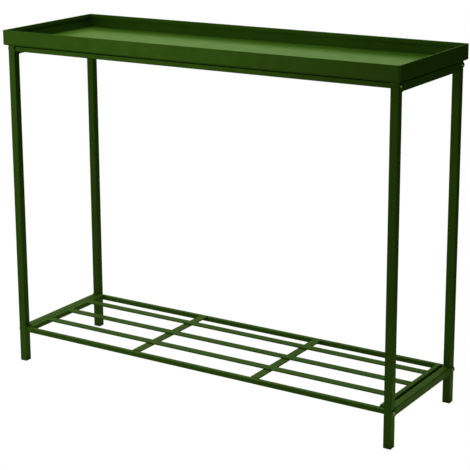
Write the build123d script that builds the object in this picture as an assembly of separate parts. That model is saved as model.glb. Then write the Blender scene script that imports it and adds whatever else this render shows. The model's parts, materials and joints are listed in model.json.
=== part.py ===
"""Potting bench: a shallow sheet-steel tray on a bolted frame of steel tube, with a slatted shelf.

Millimetres. +X runs along the bench to the right, +Y to the rear and +Z up.
The origin is on the ground, under the middle of the bench.
"""

from build123d import *
import math
import os

# Overall size
BENCH_LENGTH = 1000.0
BENCH_DEPTH = 330.0
BENCH_HEIGHT = 800.0

# Tray: one folded sheet with upturned walls and a hemmed rim
SHEET = 1.2
WALL_HEIGHT = 34.5
BEND_RADIUS = 3.5
TRAY_CORNER_RADIUS = 4.0
END_OVERHANG = 7.0
FRONT_OVERHANG = 10.0
HEM_HEIGHT = 9.0
HEM_GAP = 0.4
HEM_ROUNDING = 1.35

# Square tube of the legs and cross rails
LEG_SIZE = 18.0
LEG_WALL = 1.2
LEG_CORNER_RADIUS = 1.8

# Square tube of the long rails and the shelf's end rails
RAIL_SIZE = 11.0
RAIL_WALL = 1.2
RAIL_CORNER_RADIUS = 1.5

# Heights of the undersides of the rails
TOP_RAIL_Z = 751.0
UPPER_CROSS_RAIL_Z = 744.0
SHELF_Z = 73.0
END_RAIL_Z = 77.0
LOWER_CROSS_RAIL_Z = 68.0

# Shelf bars: flat bar, laid flat
FLAT_WIDTH = 20.0
FLAT_THICKNESS = 3.0
FLAT_EDGE_RADIUS = 0.4
SLAT_SPACING = 78.0
CROSS_BAR_X = 158.0
END_RAIL_GAP = 4.5

# Frame bolts: domed heads with a hexagon socket, on a washer
BOLT_RADIUS = 3.0
BOLT_HOLE_RADIUS = 3.5
BOLT_LENGTH = 32.0
BOLT_HEAD_RADIUS = 6.0
BOLT_HEAD_HEIGHT = 4.0
BOLT_HEAD_RIM = 1.0
BOLT_SOCKET_ACROSS_FLATS = 4.0
BOLT_SOCKET_DEPTH = 2.4
BOLT_TIP_CHAMFER = 0.6
WASHER_RADIUS = 6.5
WASHER_HOLE_RADIUS = 3.2
WASHER_THICKNESS = 1.4

# Threaded blocks in the rail ends and spigots under the tray, all inside tubes
THREAD_CLEARANCE = 0.05
BLOCK_CLEARANCE = 0.05
BLOCK_LENGTH = 14.0
SPIGOT_HEIGHT = 5.0
SPIGOT_CHAMFER = 0.5

# Foot plugs
FOOT_FLANGE = 2.0
FOOT_CHAMFER = 0.6
FOOT_BODY_HEIGHT = 14.0
FOOT_BODY_CLEARANCE = 0.1
FOOT_BODY_WALL = 2.0

# Places worked out from the driving dimensions
TRAY_Z = BENCH_HEIGHT - WALL_HEIGHT
TRAY_FLOOR_Z = TRAY_Z + SHEET
LEG_X = BENCH_LENGTH / 2 - END_OVERHANG - LEG_SIZE / 2
LEG_Y = BENCH_DEPTH / 2 - FRONT_OVERHANG - LEG_SIZE / 2
LEG_BORE = LEG_SIZE - 2 * LEG_WALL
CROSS_RAIL_LENGTH = 2 * LEG_Y - LEG_SIZE
LONG_RAIL_LENGTH = 2 * LEG_X - LEG_SIZE
END_RAIL_X = LONG_RAIL_LENGTH / 2 - END_RAIL_GAP - RAIL_SIZE / 2
END_RAIL_LENGTH = 2 * LEG_Y - RAIL_SIZE
SLAT_LENGTH = 2 * END_RAIL_X - RAIL_SIZE
SLAT_Z = END_RAIL_Z + RAIL_SIZE - FLAT_THICKNESS
CROSS_BAR_Z = SLAT_Z - FLAT_THICKNESS
BOLT_HEIGHTS = (SHELF_Z + RAIL_SIZE / 2, TOP_RAIL_Z + RAIL_SIZE / 2)

SIDES = {"left": -1, "right": 1}
FACES = {"front": -1, "rear": 1}
CORNERS = [(side, face) for side in SIDES.values() for face in FACES.values()]


def tube(plane, size, length, wall, corner_radius):
    """Square tube, centred on the plane's origin and drawn out both ways along its normal."""
    bore = size - 2 * wall
    outside = RectangleRounded(size, size, corner_radius)
    inside = RectangleRounded(bore, bore, corner_radius - wall)
    return extrude(plane * (outside - inside), length / 2, both=True)


def rail_tube(plane, length):
    """Square tube of the long rails and the shelf's end rails, slimmer than the legs."""
    return tube(plane, RAIL_SIZE, length, RAIL_WALL, RAIL_CORNER_RADIUS)


def flat_bar(length):
    """Flat bar along X with its underside at z = 0 and its long edges eased."""
    profile = RectangleRounded(FLAT_WIDTH, FLAT_THICKNESS, FLAT_EDGE_RADIUS)
    return Pos(0, 0, FLAT_THICKNESS / 2) * extrude(Plane.YZ * profile, length / 2, both=True)


def rounded_block(length, depth, corner_radius, bottom, top):
    """Block with rounded upright edges between two heights."""
    return Pos(0, 0, bottom) * extrude(RectangleRounded(length, depth, corner_radius), top - bottom)


def inset_block(inset, bottom, top):
    """Block with the tray's outline, drawn in by an inset."""
    radius = max(TRAY_CORNER_RADIUS - inset, SHEET / 2)
    return rounded_block(BENCH_LENGTH - 2 * inset, BENCH_DEPTH - 2 * inset, radius, bottom, top)


def tray():
    """Folded pan: a flat floor and four upright walls, hemmed inwards along the rim."""
    hem_inset = 2 * SHEET + HEM_GAP
    hem_bottom = BENCH_HEIGHT - HEM_HEIGHT
    pan = inset_block(0, TRAY_Z, BENCH_HEIGHT)
    pan = fillet(pan.edges().group_by(Axis.Z)[0], BEND_RADIUS)
    hollow = inset_block(SHEET, TRAY_FLOOR_Z, hem_bottom)
    hollow = fillet(hollow.edges().group_by(Axis.Z)[0], BEND_RADIUS - SHEET)
    pan -= hollow
    pan -= inset_block(hem_inset, hem_bottom, BENCH_HEIGHT)
    hem_slot = inset_block(SHEET, hem_bottom, BENCH_HEIGHT - SHEET)
    pan -= hem_slot - inset_block(SHEET + HEM_GAP, hem_bottom, BENCH_HEIGHT - SHEET)
    return fillet(pan.edges().group_by(Axis.Z)[-1], HEM_ROUNDING)


def leg(side, face):
    """Upright square tube from its foot plug to the tray, drilled across for both frame bolts."""
    length = TRAY_Z - FOOT_FLANGE
    upright = tube(Plane.XY, LEG_SIZE, length, LEG_WALL, LEG_CORNER_RADIUS)
    upright = Pos(side * LEG_X, face * LEG_Y, FOOT_FLANGE + length / 2) * upright
    for height in BOLT_HEIGHTS:
        hole = Rot(0, 90, 0) * Cylinder(BOLT_HOLE_RADIUS, 2 * LEG_SIZE)
        upright -= Pos(side * LEG_X, face * LEG_Y, height) * hole
    return upright


def foot(side, face):
    """Plastic plug: a chamfered flange under the leg and a hollow body up inside it."""
    flange = rounded_block(LEG_SIZE, LEG_SIZE, LEG_CORNER_RADIUS, 0, FOOT_FLANGE)
    flange = chamfer(flange.edges().group_by(Axis.Z)[0], FOOT_CHAMFER)
    body_size = LEG_BORE - 2 * FOOT_BODY_CLEARANCE
    body_top = FOOT_FLANGE + FOOT_BODY_HEIGHT
    body = rounded_block(body_size, body_size, LEG_CORNER_RADIUS - LEG_WALL, FOOT_FLANGE, body_top)
    bore = body_size - 2 * FOOT_BODY_WALL
    body -= Pos(0, 0, FOOT_FLANGE) * extrude(Rectangle(bore, bore), FOOT_BODY_HEIGHT)
    return Pos(side * LEG_X, face * LEG_Y, 0) * (flange + body)


def spigot(side, face):
    """Square spigot welded under the tray, that seats it in the top of a leg."""
    size = LEG_BORE - 2 * BLOCK_CLEARANCE
    bottom = TRAY_Z - SPIGOT_HEIGHT
    block = rounded_block(size, size, LEG_CORNER_RADIUS - LEG_WALL, bottom, TRAY_Z)
    block = chamfer(block.edges().group_by(Axis.Z)[0], SPIGOT_CHAMFER)
    return Pos(side * LEG_X, face * LEG_Y, 0) * block


def cross_rail(side, underside):
    """Square tube between the front and rear leg of one end frame."""
    rail = tube(Plane.XZ, LEG_SIZE, CROSS_RAIL_LENGTH, LEG_WALL, LEG_CORNER_RADIUS)
    return Pos(side * LEG_X, 0, underside + LEG_SIZE / 2) * rail


def long_rail(face, underside):
    """Square tube between the left and right legs, on the legs' centre line."""
    rail = rail_tube(Plane.YZ, LONG_RAIL_LENGTH)
    return Pos(0, face * LEG_Y, underside + RAIL_SIZE / 2) * rail


def end_rail(side):
    """Square tube across one end of the shelf, set between its long rails and a little higher."""
    rail = rail_tube(Plane.XZ, END_RAIL_LENGTH)
    return Pos(side * END_RAIL_X, 0, END_RAIL_Z + RAIL_SIZE / 2) * rail


def slat(place):
    """Flat bar along the shelf, between the end rails and level with their tops."""
    return Pos(0, place * SLAT_SPACING, SLAT_Z) * flat_bar(SLAT_LENGTH)


def cross_bar(side):
    """Flat bar under the slats, between the long rails of the shelf."""
    return Pos(side * CROSS_BAR_X, 0, CROSS_BAR_Z) * Rot(0, 0, 90) * flat_bar(END_RAIL_LENGTH)


def rail_block(side, face, height):
    """Steel block welded inside the end of a long rail and threaded for a frame bolt."""
    size = RAIL_SIZE - 2 * (RAIL_WALL + BLOCK_CLEARANCE)
    profile = RectangleRounded(size, size, RAIL_CORNER_RADIUS - RAIL_WALL)
    block = extrude(Plane.YZ * profile, BLOCK_LENGTH / 2, both=True)
    block -= Rot(0, 90, 0) * Cylinder(BOLT_RADIUS + THREAD_CLEARANCE, 2 * BLOCK_LENGTH)
    return Pos(side * (LONG_RAIL_LENGTH - BLOCK_LENGTH) / 2, face * LEG_Y, height) * block


def upright_bolt():
    """Bolt along +Z: a domed head with a hexagon socket above z = 0 and the shank below."""
    dome = BOLT_HEAD_HEIGHT - BOLT_HEAD_RIM
    dome_radius = (BOLT_HEAD_RADIUS**2 + dome**2) / (2 * dome)
    middle = BOLT_HEAD_RADIUS / 2
    middle_z = BOLT_HEAD_HEIGHT - dome_radius + math.sqrt(dome_radius**2 - middle**2)
    top = (0, BOLT_HEAD_HEIGHT)
    rim = (BOLT_HEAD_RADIUS, BOLT_HEAD_RIM)
    outline = Polyline(top, (0, 0), (BOLT_HEAD_RADIUS, 0), rim)
    outline += ThreePointArc(rim, (middle, middle_z), top)
    head = revolve(Plane.XZ * make_face(outline), Axis.Z)
    socket = RegularPolygon(BOLT_SOCKET_ACROSS_FLATS / 2, 6, major_radius=False)
    head -= Pos(0, 0, BOLT_HEAD_HEIGHT - BOLT_SOCKET_DEPTH) * extrude(socket, BOLT_HEAD_HEIGHT)
    shank = Pos(0, 0, -BOLT_LENGTH / 2) * Cylinder(BOLT_RADIUS, BOLT_LENGTH)
    shank = chamfer(shank.edges().group_by(Axis.Z)[0], BOLT_TIP_CHAMFER)
    return head + shank


def frame_bolt(side, face, height):
    """Bolt through a leg into the end of a long rail, its head on the outer side of the leg."""
    seat = LEG_X + LEG_SIZE / 2 + WASHER_THICKNESS
    return Pos(side * seat, face * LEG_Y, height) * Rot(0, side * 90, 0) * upright_bolt()


def washer(side, face, height):
    """Flat washer between a bolt head and the leg."""
    ring = Cylinder(WASHER_RADIUS, WASHER_THICKNESS) - Cylinder(WASHER_HOLE_RADIUS, LEG_SIZE)
    middle = LEG_X + (LEG_SIZE + WASHER_THICKNESS) / 2
    return Pos(side * middle, face * LEG_Y, height) * Rot(0, 90, 0) * ring


def at_corners(piece):
    """One copy of a piece at each of the four corners."""
    return Compound([piece(side, face).solid() for side, face in CORNERS])


def at_bolts(piece):
    """One copy of a piece at each of the eight frame bolts."""
    places = [(side, face, height) for side, face in CORNERS for height in BOLT_HEIGHTS]
    return Compound([piece(*place).solid() for place in places])


def bench():
    """Every piece of the bench, by name."""
    pieces = {"tray": tray()}
    for side_name, side in SIDES.items():
        for face_name, face in FACES.items():
            pieces[f"leg_{face_name}_{side_name}"] = leg(side, face)
            pieces[f"foot_{face_name}_{side_name}"] = foot(side, face)
        pieces[f"upper_cross_rail_{side_name}"] = cross_rail(side, UPPER_CROSS_RAIL_Z)
        pieces[f"lower_cross_rail_{side_name}"] = cross_rail(side, LOWER_CROSS_RAIL_Z)
        pieces[f"shelf_end_rail_{side_name}"] = end_rail(side)
        pieces[f"shelf_cross_bar_{side_name}"] = cross_bar(side)
    for face_name, face in FACES.items():
        pieces[f"top_rail_{face_name}"] = long_rail(face, TOP_RAIL_Z)
        pieces[f"shelf_rail_{face_name}"] = long_rail(face, SHELF_Z)
    for place_name, place in {"front": -1, "middle": 0, "rear": 1}.items():
        pieces[f"shelf_slat_{place_name}"] = slat(place)
    pieces["tray_spigots"] = at_corners(spigot)
    pieces["rail_end_blocks"] = at_bolts(rail_block)
    pieces["frame_bolts"] = at_bolts(frame_bolt)
    pieces["frame_washers"] = at_bolts(washer)
    return pieces


os.makedirs("parts", exist_ok=True)
for name, piece in bench().items():
    export_step(piece, f"parts/{name}.step")
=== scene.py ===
"""Looks for the potting bench: powder coat, weld beads, studio and camera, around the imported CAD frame."""

import json
import math
import random

import bmesh
import bpy
from mathutils import Matrix, Vector


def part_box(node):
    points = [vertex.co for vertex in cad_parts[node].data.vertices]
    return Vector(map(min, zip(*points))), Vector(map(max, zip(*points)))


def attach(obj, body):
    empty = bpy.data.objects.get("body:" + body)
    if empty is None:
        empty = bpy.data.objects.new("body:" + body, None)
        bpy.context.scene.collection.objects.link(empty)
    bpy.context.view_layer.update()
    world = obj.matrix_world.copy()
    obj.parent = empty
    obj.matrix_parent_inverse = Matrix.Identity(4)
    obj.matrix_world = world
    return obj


MM = 0.001

# Camera: place in metres, angles in radians, and the photograph's off-centre framing
CAMERA_PLACE = (1.735, -2.735, 1.271)
CAMERA_YAW = 0.5921
CAMERA_PITCH = 0.2395
CAMERA_ROLL = -0.012
CAMERA_SENSOR_MM = 36.0
CAMERA_FOCAL_RATIO = 3.164
CAMERA_SHIFT = (0.10, -0.12)

# Floor: a pale disc, white to the camera
WHITE = (1.0, 1.0, 1.0, 1.0)
FLOOR_PLACE = (0.0, -0.1, 0.0)
FLOOR_RADIUS = 0.8
FLOOR_SIDES = 96
FLOOR_GREY = (0.52, 0.52, 0.52, 1.0)
FLOOR_ROUGHNESS = 0.9

# Softboxes: name, place, target, size and power
SOFTBOXES = (
    ("top_softbox", (-0.4, 0.0, 2.6), (-0.3, 0.0, 0.0), (1.6, 1.2), 36.0),
    ("top_rear_softbox", (-0.7, 1.6, 2.0), (-0.1, 0.0, 0.5), (2.2, 1.2), 24.0),
    ("rear_softbox", (-1.1, 2.0, 1.45), (-0.2, 0.0, 0.6), (2.4, 1.2), 1.2),
    ("rear_left_softbox", (-1.9, 1.5, 0.9), (0.0, 0.0, 0.5), (1.6, 1.6), 3.8),
    ("key_softbox", (-1.5, -1.8, 0.9), (-0.2, 0.0, 0.5), (1.0, 1.0), 4.6),
    ("front_softbox", (-0.8, -1.9, 1.1), (-0.1, 0.0, 0.6), (0.8, 0.8), 2.8),
    ("near_softbox", (-0.7, -1.2, 0.75), (-0.2, 0.0, 0.75), (0.6, 0.5), 3.0),
    ("right_softbox", (2.0, -0.4, 0.25), (0.3, 0.0, 0.1), (1.0, 0.5), 4.0),
    ("glint_softbox", (1.9, -0.25, 0.8), (0.5, 0.0, 0.6), (0.2, 0.2), 0.8),
    ("right_foot_softbox", (0.62, 0.0, 0.004), (0.62, 0.0, 1.0), (0.2, 0.5), 0.12),
    ("left_foot_softbox", (-0.36, 0.0, 0.004), (-0.36, 0.0, 1.0), (0.2, 0.5), 0.06),
)

# Green powder coat of the tray, tubes and flats
COAT_GREEN = (0.046, 0.122, 0.0078, 1.0)
COAT_GREEN_DEEP = (0.041, 0.110, 0.0068, 1.0)
# Lighter edge tone: partly thinner coat on edges, partly a painted highlight along sharp edges
COAT_EDGE_WEAR_AND_HIGHLIGHT = (0.060, 0.134, 0.014, 1.0)
COAT_METALLIC = 0.3
COAT_ROUGHNESS = 0.54
COAT_PEEL = 0.03 * MM

# Paler, shinier finish of the bolts and washers
FASTENER_GREEN = (0.20, 0.30, 0.10, 1.0)
FASTENER_GREEN_DEEP = (0.13, 0.21, 0.06, 1.0)
FASTENER_METALLIC = 0.7
FASTENER_ROUGHNESS = 0.26
FASTENER_PEEL = 0.01 * MM

# What both green finishes share. A noise's span is the part of its range that is stretched to 0..1.
# The edge lightening's span runs from flat faces to sharp edges, in the dot product of normal and bevelled
# normal; the lighter edge is partly thinner coat and partly painted highlight.
SHEEN_TINT = (0.75, 1.0, 0.3, 1.0)
SPECULAR_LEVEL = 0.1
CLOUD_SCALE = 9.0
CLOUD_DETAIL = 4.0
CLOUD_SPAN = (0.35, 0.65)
EDGE_WEAR_AND_HIGHLIGHT_RADIUS = 0.9 * MM
EDGE_WEAR_AND_HIGHLIGHT_SAMPLES = 4
EDGE_WEAR_AND_HIGHLIGHT_SPAN = (0.97, 0.80)
PATCH_SCALE = 160.0
PATCH_SPAN = (0.40, 0.62)
GLOSS_SCALE = 38.0
GLOSS_SPAN = (0.3, 0.7)
GLOSS_SWING = 0.05
PEEL_SCALE = 620.0
PEEL_DETAIL = 2.0
PEEL_FINENESS = 0.45

# Plastic of the foot plugs
PLASTIC_DARK = (0.016, 0.024, 0.010, 1.0)
PLASTIC_SCUFFED = (0.024, 0.036, 0.015, 1.0)
PLASTIC_ROUGHNESS = 0.62
SCUFF_SCALE = 420.0
SCUFF_DETAIL = 4.0
SCUFF_FINENESS = 0.6
SCUFF_SPAN = (0.45, 0.75)
PLASTIC_GRAIN_SCALE = 1500.0
PLASTIC_GRAIN_DETAIL = 2.0

# Bare steel of the hidden blocks and spigots
STEEL = (0.40, 0.40, 0.39, 1.0)
STEEL_STREAKED = (0.28, 0.28, 0.273, 1.0)
STREAK_SCALE = 300.0
STREAK_DETAIL = 5.0
STREAK_FINENESS = 0.6
STREAK_SPAN = (0.3, 0.7)
STEEL_ROUGHNESS_SPAN = (0.35, 0.55)
STEEL_GRAIN_SCALE = 900.0

GRAIN_HEIGHT = 0.02 * MM

# Weld beads; a ripple, jitter or blunt end is a share of the bead's radius
BEAD_RADIUS = 1.25 * MM
END_BEAD_RADIUS = 1.9 * MM
BEAD_STEP = 0.35 * MM
BEAD_SIDES = 10
BEAD_SINK = 0.35 * MM
END_BEAD_RISE = 1.3 * MM
RIPPLE_PITCH = 1.5 * MM
RIPPLE_HEIGHT = 0.13
RADIUS_JITTER = 0.02
BLUNT_END = 0.2
TUBE_CORNER = 1.8 * MM
CORNER_STEPS = 5
BEAD_SHORTENING = MM
SLAT_BEAD_DROP = 0.6 * MM
UP = Vector((0, 0, 1))
STEEP_TANGENT = 0.9
SIDES = ("left", "right")
LEVELS = ("upper", "lower")
SLATS = ("front", "middle", "rear")

# Colour sockets of Blender's Mix node
MIX_A = 6
MIX_B = 7
MIX_RESULT = 2

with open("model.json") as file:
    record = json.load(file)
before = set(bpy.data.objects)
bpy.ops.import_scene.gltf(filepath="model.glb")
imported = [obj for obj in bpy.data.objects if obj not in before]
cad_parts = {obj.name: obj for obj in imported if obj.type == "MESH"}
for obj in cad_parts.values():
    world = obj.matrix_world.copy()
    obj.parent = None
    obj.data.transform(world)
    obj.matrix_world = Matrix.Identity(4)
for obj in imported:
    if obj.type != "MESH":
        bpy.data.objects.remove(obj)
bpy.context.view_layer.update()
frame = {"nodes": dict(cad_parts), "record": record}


# ---------------------------------------------------------------- materials

def new_material(name):
    """Empty node material: the material, its node tree, its output and a Principled shader."""
    material = bpy.data.materials.new(name)
    material.use_nodes = True
    tree = material.node_tree
    tree.nodes.clear()
    output = tree.nodes.new("ShaderNodeOutputMaterial")
    shader = tree.nodes.new("ShaderNodeBsdfPrincipled")
    tree.links.new(shader.outputs["BSDF"], output.inputs["Surface"])
    return material, tree, output, shader


def object_coords(tree):
    """Object-space coordinates, in metres, so the texture's scale is the same on every piece."""
    return tree.nodes.new("ShaderNodeTexCoord").outputs["Object"]


def noise(tree, coords, scale, detail=3.0, fineness=0.5):
    """Noise texture node in object space."""
    node = tree.nodes.new("ShaderNodeTexNoise")
    node.inputs["Scale"].default_value = scale
    node.inputs["Detail"].default_value = detail
    node.inputs["Roughness"].default_value = fineness
    tree.links.new(coords, node.inputs["Vector"])
    return node.outputs["Fac"]


def ramp(tree, value, span, target=(0.0, 1.0)):
    """Map Range node from one span of values to another."""
    node = tree.nodes.new("ShaderNodeMapRange")
    node.inputs["From Min"].default_value = span[0]
    node.inputs["From Max"].default_value = span[1]
    node.inputs["To Min"].default_value = target[0]
    node.inputs["To Max"].default_value = target[1]
    tree.links.new(value, node.inputs["Value"])
    return node.outputs["Result"]


def mix(tree, factor, a, b):
    """Colour mix of two constants or outputs by a factor output."""
    node = tree.nodes.new("ShaderNodeMix")
    node.data_type = "RGBA"
    tree.links.new(factor, node.inputs["Factor"])
    for socket, value in ((node.inputs[MIX_A], a), (node.inputs[MIX_B], b)):
        if isinstance(value, tuple):
            socket.default_value = value
        else:
            tree.links.new(value, socket)
    return node.outputs[MIX_RESULT]


def product(tree, a, b):
    """Product of two outputs."""
    node = tree.nodes.new("ShaderNodeMath")
    node.operation = "MULTIPLY"
    tree.links.new(a, node.inputs[0])
    tree.links.new(b, node.inputs[1])
    return node.outputs["Value"]


def edge_mask(tree):
    """1 on sharp outer edges and 0 on flat faces, from how far a bevelled normal turns."""
    bevel = tree.nodes.new("ShaderNodeBevel")
    bevel.samples = EDGE_WEAR_AND_HIGHLIGHT_SAMPLES
    bevel.inputs["Radius"].default_value = EDGE_WEAR_AND_HIGHLIGHT_RADIUS
    geometry = tree.nodes.new("ShaderNodeNewGeometry")
    dot = tree.nodes.new("ShaderNodeVectorMath")
    dot.operation = "DOT_PRODUCT"
    tree.links.new(bevel.outputs["Normal"], dot.inputs[0])
    tree.links.new(geometry.outputs["Normal"], dot.inputs[1])
    return ramp(tree, dot.outputs["Value"], EDGE_WEAR_AND_HIGHLIGHT_SPAN)


def bump(tree, shader, height, distance):
    """Bump from a height output, linked to the shader's normal."""
    node = tree.nodes.new("ShaderNodeBump")
    node.inputs["Distance"].default_value = distance
    node.inputs["Strength"].default_value = 1.0
    tree.links.new(height, node.inputs["Height"])
    tree.links.new(node.outputs["Normal"], shader.inputs["Normal"])


def coat_material(name, colour, deep, edge_wear_and_highlight_colour, metallic, roughness, peel):
    """Powder coat: faint cloudiness, lighter patches on edges that are partly thinner coat and partly
    painted highlight, uneven gloss, orange peel.
    """
    material, tree, _, shader = new_material(name)
    coords = object_coords(tree)
    cloud = ramp(tree, noise(tree, coords, CLOUD_SCALE, CLOUD_DETAIL), CLOUD_SPAN)
    clouded = mix(tree, cloud, deep, colour)
    patches = ramp(tree, noise(tree, coords, PATCH_SCALE), PATCH_SPAN)
    # Lighter patches on sharp edges: partly thinner coat, partly painted highlight
    edge_wear_and_highlight = product(tree, edge_mask(tree), patches)
    tree.links.new(mix(tree, edge_wear_and_highlight, clouded, edge_wear_and_highlight_colour), shader.inputs["Base Color"])
    swing = (roughness - GLOSS_SWING, roughness + GLOSS_SWING)
    gloss = ramp(tree, noise(tree, coords, GLOSS_SCALE), GLOSS_SPAN, swing)
    tree.links.new(gloss, shader.inputs["Roughness"])
    shader.inputs["Metallic"].default_value = metallic
    shader.inputs["Specular IOR Level"].default_value = SPECULAR_LEVEL
    shader.inputs["Specular Tint"].default_value = SHEEN_TINT
    bump(tree, shader, noise(tree, coords, PEEL_SCALE, PEEL_DETAIL, PEEL_FINENESS), peel)
    return material


def plastic_material(name):
    """Moulded plastic: fine grain and scuffs."""
    material, tree, _, shader = new_material(name)
    coords = object_coords(tree)
    scuff = ramp(tree, noise(tree, coords, SCUFF_SCALE, SCUFF_DETAIL, SCUFF_FINENESS), SCUFF_SPAN)
    tree.links.new(mix(tree, scuff, PLASTIC_DARK, PLASTIC_SCUFFED), shader.inputs["Base Color"])
    shader.inputs["Roughness"].default_value = PLASTIC_ROUGHNESS
    bump(tree, shader, noise(tree, coords, PLASTIC_GRAIN_SCALE, PLASTIC_GRAIN_DETAIL), GRAIN_HEIGHT)
    return material


def steel_material(name):
    """Plain mill steel with fine streaks."""
    material, tree, _, shader = new_material(name)
    coords = object_coords(tree)
    streak = ramp(tree, noise(tree, coords, STREAK_SCALE, STREAK_DETAIL, STREAK_FINENESS), STREAK_SPAN)
    tree.links.new(mix(tree, streak, STEEL, STEEL_STREAKED), shader.inputs["Base Color"])
    shader.inputs["Metallic"].default_value = 1.0
    tree.links.new(ramp(tree, streak, (0.0, 1.0), STEEL_ROUGHNESS_SPAN), shader.inputs["Roughness"])
    bump(tree, shader, noise(tree, coords, STEEL_GRAIN_SCALE), GRAIN_HEIGHT)
    return material


MATERIALS = {
    "powder_coat": coat_material(
        "green_coat",
        COAT_GREEN,
        COAT_GREEN_DEEP,
        COAT_EDGE_WEAR_AND_HIGHLIGHT,
        COAT_METALLIC,
        COAT_ROUGHNESS,
        COAT_PEEL,
    ),
    "fastener_coat": coat_material(
        "fastener_coat",
        FASTENER_GREEN,
        FASTENER_GREEN_DEEP,
        # Edge tone, lighter than the deep green: partly wear, partly painted highlight
        FASTENER_GREEN,
        FASTENER_METALLIC,
        FASTENER_ROUGHNESS,
        FASTENER_PEEL,
    ),
    "foot_plastic": plastic_material("foot_plastic"),
    "plain_steel": steel_material("plain_steel"),
}


def dress_nodes():
    """The material of its slot on every CAD node."""
    for entry in frame["record"]["subparts"]:
        materials = frame["nodes"][entry["node"]].data.materials
        materials.clear()
        materials.append(MATERIALS[entry["material_slot"]])


# ---------------------------------------------------------------- weld beads

def resample(points, closed):
    """Points at even steps along a polyline, each with its distance along it, and the whole length."""
    points = [Vector(p) for p in points]
    if closed:
        points.append(points[0])
    lengths = [0.0]
    for a, b in zip(points, points[1:]):
        lengths.append(lengths[-1] + (b - a).length)
    count = max(4, round(lengths[-1] / BEAD_STEP))
    result = []
    piece = 0
    for k in range(count if closed else count + 1):
        along = lengths[-1] * k / count
        while piece < len(points) - 2 and lengths[piece + 1] < along:
            piece += 1
        span = lengths[piece + 1] - lengths[piece]
        part = (along - lengths[piece]) / span
        result.append((points[piece].lerp(points[piece + 1], part), along))
    return result, lengths[-1]


def bead(mesh, points, closed, radius, rng):
    """One weld bead along a polyline: a tube with ripples, a slightly uneven width and blunt ends."""
    samples, total = resample(points, closed)
    count = len(samples)
    phase = rng.uniform(0, math.tau)
    rings = []
    for k, (centre, along) in enumerate(samples):
        ahead = samples[(k + 1) % count][0] if closed or k < count - 1 else centre
        behind = samples[k - 1][0] if closed or k > 0 else centre
        tangent = (ahead - behind).normalized()
        if abs(tangent.z) < STEEP_TANGENT:
            side = tangent.cross(UP).normalized()
        else:
            side = tangent.orthogonal().normalized()
        up = side.cross(tangent)
        ripple = abs(math.sin(math.pi * along / RIPPLE_PITCH + phase))
        jitter = rng.uniform(-RADIUS_JITTER, RADIUS_JITTER)
        size = radius * (1 - RIPPLE_HEIGHT + RIPPLE_HEIGHT * ripple + jitter)
        if not closed:
            end = min(along, total - along) / radius
            if end < 1:
                size *= math.sqrt(max(1 - (1 - end) ** 2, BLUNT_END ** 2))
        ring = []
        for n in range(BEAD_SIDES):
            turn = math.tau * n / BEAD_SIDES
            ring.append(mesh.verts.new(centre + size * (math.cos(turn) * side + math.sin(turn) * up)))
        rings.append(ring)
    pairs = list(zip(rings, rings[1:]))
    if closed:
        pairs.append((rings[-1], rings[0]))
    for first, second in pairs:
        for n in range(BEAD_SIDES):
            m = (n + 1) % BEAD_SIDES
            mesh.faces.new((first[n], first[m], second[m], second[n]))
    if not closed:
        mesh.faces.new(list(reversed(rings[0])))
        mesh.faces.new(rings[-1])


def weld_piece(name, beads):
    """One object holding several beads, given as (points, closed, radius)."""
    rng = random.Random(name)
    mesh = bmesh.new()
    for points, closed, radius in beads:
        bead(mesh, points, closed, radius, rng)
    bmesh.ops.recalc_face_normals(mesh, faces=mesh.faces)
    data = bpy.data.meshes.new(name)
    mesh.to_mesh(data)
    mesh.free()
    for face in data.polygons:
        face.use_smooth = True
    piece = bpy.data.objects.new(name, data)
    bpy.context.scene.collection.objects.link(piece)
    data.materials.append(MATERIALS["powder_coat"])
    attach(piece, "root")


def rounded_loop(width, height, radius, place):
    """Points round a rounded rectangle; place turns its two coordinates into a point."""
    points = []
    for quarter, (sx, sy) in enumerate(((1, 1), (-1, 1), (-1, -1), (1, -1))):
        cx = sx * (width / 2 - radius)
        cy = sy * (height / 2 - radius)
        for k in range(CORNER_STEPS):
            turn = math.pi / 2 * (quarter + k / (CORNER_STEPS - 1))
            points.append(place(cx + radius * math.cos(turn), cy + radius * math.sin(turn)))
    return points


def cross_rail_beads(node):
    """A bead round each end of a cross rail, where it butts against a leg."""
    low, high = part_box(node)
    middle = (low + high) / 2
    size = high - low
    beads = []
    for y in (low.y + BEAD_SINK, high.y - BEAD_SINK):
        def place(across, upward, y=y):
            return Vector((middle.x + across, y, middle.z + upward))
        beads.append((rounded_loop(size.x, size.z, TUBE_CORNER, place), True, BEAD_RADIUS))
    return beads


def end_rail_beads(node):
    """Beads round an end rail up to the long rails' top, and across its open tube ends above them."""
    low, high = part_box(node)
    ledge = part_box("shelf_rail_front")[1].z
    beads = []
    for y, way in ((low.y, 1), (high.y, -1)):
        y_in = y + way * BEAD_SINK
        path = [
            (low.x - BEAD_SINK, y_in, ledge),
            (low.x - BEAD_SINK, y_in, low.z - BEAD_SINK),
            (high.x + BEAD_SINK, y_in, low.z - BEAD_SINK),
            (high.x + BEAD_SINK, y_in, ledge),
        ]
        beads.append((path, False, BEAD_RADIUS))
        y_out = y - way * BEAD_SINK
        z_end = ledge + END_BEAD_RISE
        path = [
            (low.x + BEAD_SHORTENING, y_out, z_end),
            (high.x - BEAD_SHORTENING, y_out, z_end),
        ]
        beads.append((path, False, END_BEAD_RADIUS))
    return beads


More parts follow.
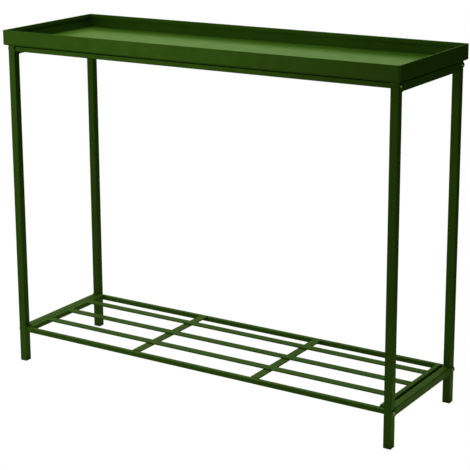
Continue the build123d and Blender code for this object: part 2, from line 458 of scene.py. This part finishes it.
def cross_bar_beads(node):
    """Beads where a cross bar meets the long rails, and under each slat on both of its sides."""
    low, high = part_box(node)
    beads = []
    for y in (low.y + BEAD_SINK, high.y - BEAD_SINK):
        path = [
            (low.x + BEAD_SHORTENING, y, low.z),
            (high.x - BEAD_SHORTENING, y, low.z),
        ]
        beads.append((path, False, BEAD_RADIUS))
    for slat in SLATS:
        slat_low, slat_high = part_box(f"shelf_slat_{slat}")
        for x in (low.x + BEAD_SINK, high.x - BEAD_SINK):
            path = [
                (x, slat_low.y + BEAD_SHORTENING, slat_low.z - BEAD_SINK),
                (x, slat_high.y - BEAD_SHORTENING, slat_low.z - BEAD_SINK),
            ]
            beads.append((path, False, BEAD_RADIUS))
    return beads


def slat_beads(node):
    """A bead down, under and up the end of a slat, at both of its ends."""
    low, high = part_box(node)
    beads = []
    for x in (low.x + BEAD_SINK, high.x - BEAD_SINK):
        path = [
            (x, low.y - BEAD_SINK, high.z - SLAT_BEAD_DROP),
            (x, low.y - BEAD_SINK, low.z - BEAD_SINK),
            (x, high.y + BEAD_SINK, low.z - BEAD_SINK),
            (x, high.y + BEAD_SINK, high.z - SLAT_BEAD_DROP),
        ]
        beads.append((path, False, BEAD_RADIUS))
    return beads


def welds():
    """Beads at every welded joint of the end frames and the shelf."""
    for side in SIDES:
        for level in LEVELS:
            node = f"{level}_cross_rail_{side}"
            weld_piece(f"welds_{node}", cross_rail_beads(node))
        node = f"shelf_end_rail_{side}"
        weld_piece(f"welds_{node}", end_rail_beads(node))
        node = f"shelf_cross_bar_{side}"
        weld_piece(f"welds_{node}", cross_bar_beads(node))
    for slat in SLATS:
        node = f"shelf_slat_{slat}"
        weld_piece(f"welds_{node}", slat_beads(node))


# ---------------------------------------------------------------- studio

def area_light(name, place, target, size, power):
    """Rectangular softbox aimed at a point, unseen by the camera."""
    data = bpy.data.lights.new(name, "AREA")
    data.shape = "RECTANGLE"
    data.size, data.size_y = size
    data.energy = power
    light = bpy.data.objects.new(name, data)
    bpy.context.scene.collection.objects.link(light)
    light.location = place
    aim = Vector(target) - Vector(place)
    light.rotation_euler = aim.to_track_quat("-Z", "Y").to_euler()
    light.visible_camera = False


def split_by_ray(tree, output, for_light, for_camera):
    """One shader for the light that a surface throws, another for what the camera sees of it."""
    path = tree.nodes.new("ShaderNodeLightPath")
    blend = tree.nodes.new("ShaderNodeMixShader")
    tree.links.new(path.outputs["Is Camera Ray"], blend.inputs["Fac"])
    tree.links.new(for_light, blend.inputs[1])
    tree.links.new(for_camera, blend.inputs[2])
    tree.links.new(blend.outputs["Shader"], output.inputs["Surface"])


def studio_floor():
    """Round floor under the bench: pale as a reflector, white to the camera."""
    data = bpy.data.meshes.new("studio_floor")
    mesh = bmesh.new()
    bmesh.ops.create_circle(mesh, cap_ends=True, segments=FLOOR_SIDES, radius=FLOOR_RADIUS)
    mesh.to_mesh(data)
    mesh.free()
    floor = bpy.data.objects.new("studio_floor", data)
    floor.location = FLOOR_PLACE
    bpy.context.scene.collection.objects.link(floor)
    material, tree, output, shader = new_material("studio_white")
    shader.inputs["Base Color"].default_value = FLOOR_GREY
    shader.inputs["Roughness"].default_value = FLOOR_ROUGHNESS
    shader.inputs["Specular IOR Level"].default_value = 0.0
    seen = tree.nodes.new("ShaderNodeEmission")
    seen.inputs["Color"].default_value = WHITE
    split_by_ray(tree, output, shader.outputs["BSDF"], seen.outputs["Emission"])
    data.materials.append(material)


def studio_world():
    """Surroundings that are white to the camera and throw no light of their own."""
    world = bpy.data.worlds.new("studio")
    bpy.context.scene.world = world
    world.use_nodes = True
    tree = world.node_tree
    tree.nodes.clear()
    output = tree.nodes.new("ShaderNodeOutputWorld")
    seen = tree.nodes.new("ShaderNodeBackground")
    seen.inputs["Color"].default_value = WHITE
    unlit = tree.nodes.new("ShaderNodeBackground")
    unlit.inputs["Strength"].default_value = 0.0
    split_by_ray(tree, output, unlit.outputs["Background"], seen.outputs["Background"])


def studio_camera():
    """Camera at the photograph's viewing angle."""
    data = bpy.data.cameras.new("camera")
    data.sensor_width = CAMERA_SENSOR_MM
    data.lens = CAMERA_SENSOR_MM * CAMERA_FOCAL_RATIO
    data.shift_x, data.shift_y = CAMERA_SHIFT
    camera = bpy.data.objects.new("camera", data)
    bpy.context.scene.collection.objects.link(camera)
    forward = Vector((
        -math.sin(CAMERA_YAW) * math.cos(CAMERA_PITCH),
        math.cos(CAMERA_YAW) * math.cos(CAMERA_PITCH),
        -math.sin(CAMERA_PITCH),
    ))
    level = Vector((math.cos(CAMERA_YAW), math.sin(CAMERA_YAW), 0.0))
    upright = level.cross(forward)
    right = math.cos(CAMERA_ROLL) * level + math.sin(CAMERA_ROLL) * upright
    up = -math.sin(CAMERA_ROLL) * level + math.cos(CAMERA_ROLL) * upright
    turn = Matrix((right, up, -forward)).transposed()
    camera.matrix_world = Matrix.Translation(CAMERA_PLACE) @ turn.to_4x4()
    bpy.context.scene.camera = camera


dress_nodes()
welds()
studio_floor()
studio_world()
studio_camera()
for softbox in SOFTBOXES:
    area_light(*softbox)
bpy.context.scene.view_settings.view_transform = "Standard"
